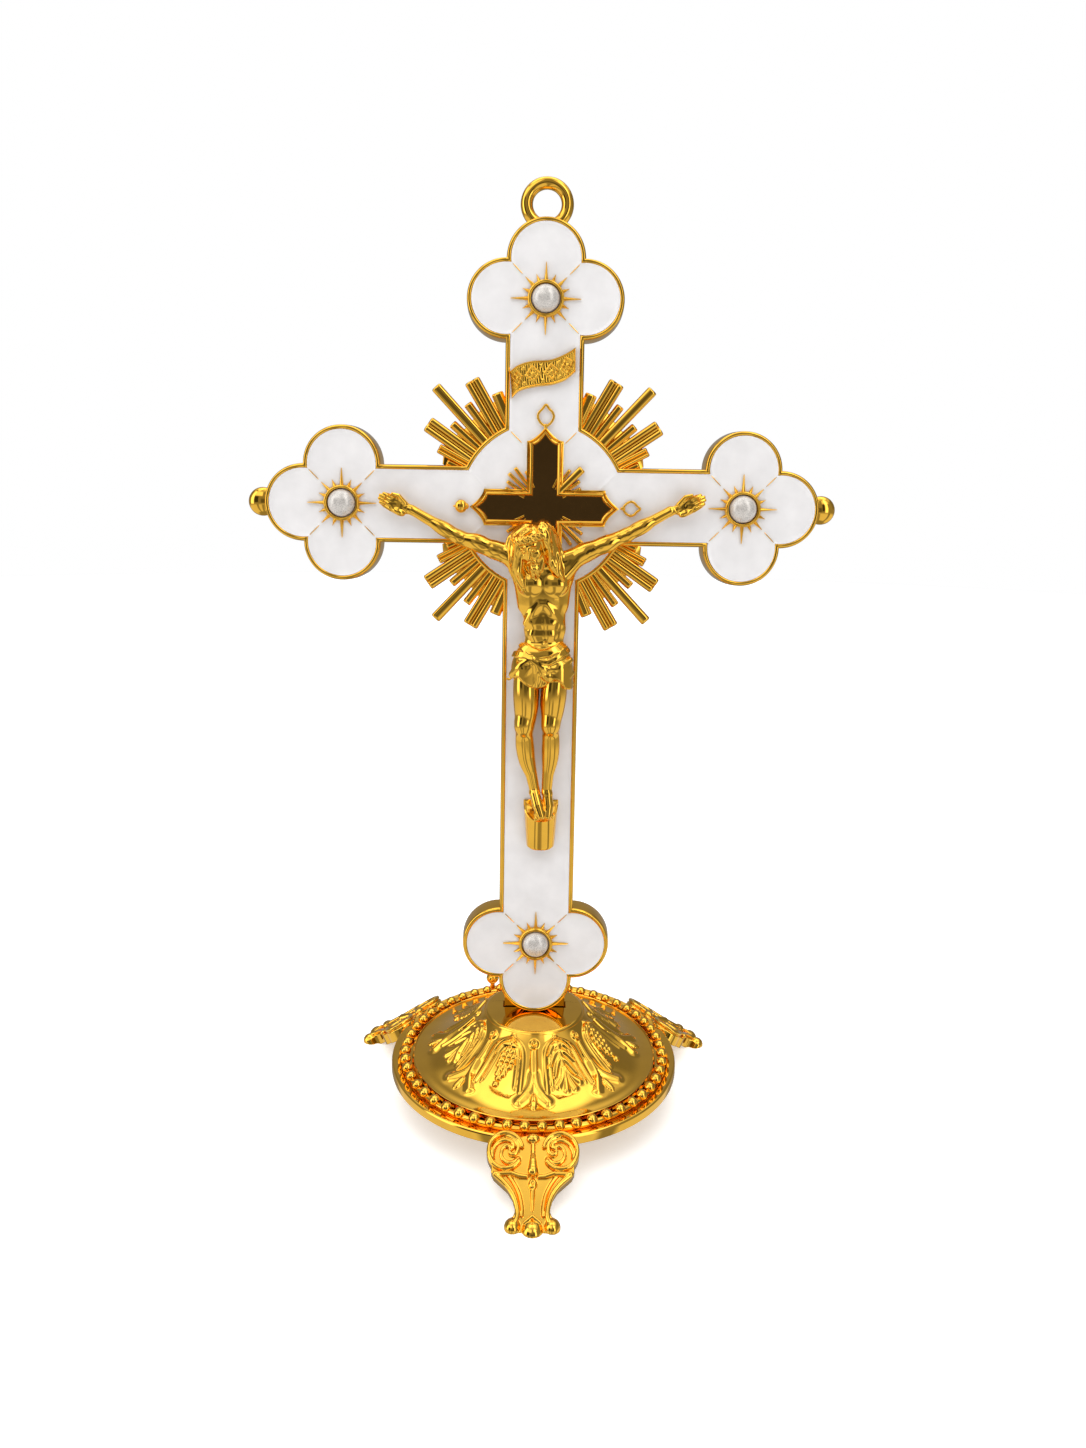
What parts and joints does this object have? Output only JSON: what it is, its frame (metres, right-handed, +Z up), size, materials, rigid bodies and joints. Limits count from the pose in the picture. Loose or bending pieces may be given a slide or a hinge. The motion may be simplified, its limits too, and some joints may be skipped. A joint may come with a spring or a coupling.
{
  "type": "altar cross",
  "caption": "Standing altar crucifix: enamelled budded cross with figure, sunburst, pearls and hanging ring, its tongue set in a domed round base on three scroll feet.",
  "frame": {"origin": "middle of the bounding box's floor, 7.9 mm in front of the base's axis, on the plane that the feet stand on", "axes": "+Z up, +X the viewer's right, the decorated front faces -Y"},
  "size_m": [0.1284, 0.0817, 0.2053],
  "materials": {
    "gold_plate": "cast alloy with polished gold plating",
    "white_enamel": "glossy white enamel",
    "pearl": "grey white pearl lustre",
    "dark_mirror": "mirror polished dark bronze"
  },
  "bodies": {
    "stand": {"base_dome": "gold_plate", "tongue_socket": "gold_plate", "base_rim": "gold_plate", "bead_ring": "gold_plate", "rear_rim_knob": "gold_plate", "foot_front": "gold_plate", "foot_right": "gold_plate", "foot_left": "gold_plate"},
    "cross": {"cross_plate": "gold_plate", "cross_tongue": "gold_plate", "corpus_pin_left": "gold_plate", "corpus_pin_right": "gold_plate", "corpus_pin_foot": "gold_plate", "sun_rays_upper_right": "gold_plate", "sun_rays_upper_left": "gold_plate", "sun_rays_lower_left": "gold_plate", "sun_rays_lower_right": "gold_plate", "sun_bezel_top": "gold_plate", "sun_bezel_left": "gold_plate", "sun_bezel_right": "gold_plate", "sun_bezel_bottom": "gold_plate", "title_banner": "gold_plate", "centre_cross_frame": "gold_plate", "finial_top": "gold_plate", "finial_right": "gold_plate", "finial_left": "gold_plate", "inner_rays_upper_right": "gold_plate", "inner_rays_upper_left": "gold_plate", "inner_rays_lower_left": "gold_plate", "inner_rays_lower_right": "gold_plate", "corpus": "gold_plate", "foot_rest": "gold_plate", "hanging_ring": "gold_plate", "end_ball_left": "gold_plate", "end_ball_right": "gold_plate", "enamel_top": "white_enamel", "enamel_left": "white_enamel", "enamel_bottom": "white_enamel", "enamel_right": "white_enamel", "enamel_halo_upper_right": "white_enamel", "enamel_halo_upper_left": "white_enamel", "enamel_halo_lower_left": "white_enamel", "enamel_halo_lower_right": "white_enamel", "pearl_top": "pearl", "pearl_left": "pearl", "pearl_right": "pearl", "pearl_bottom": "pearl", "centre_cross_field": "dark_mirror"}
  },
  "joints": [
    {"name": "cross_lift", "type": "slide", "parent": "stand", "child": "cross", "axis": [0, 0, 1], "range_m": [0, 0.014]}
  ]
}
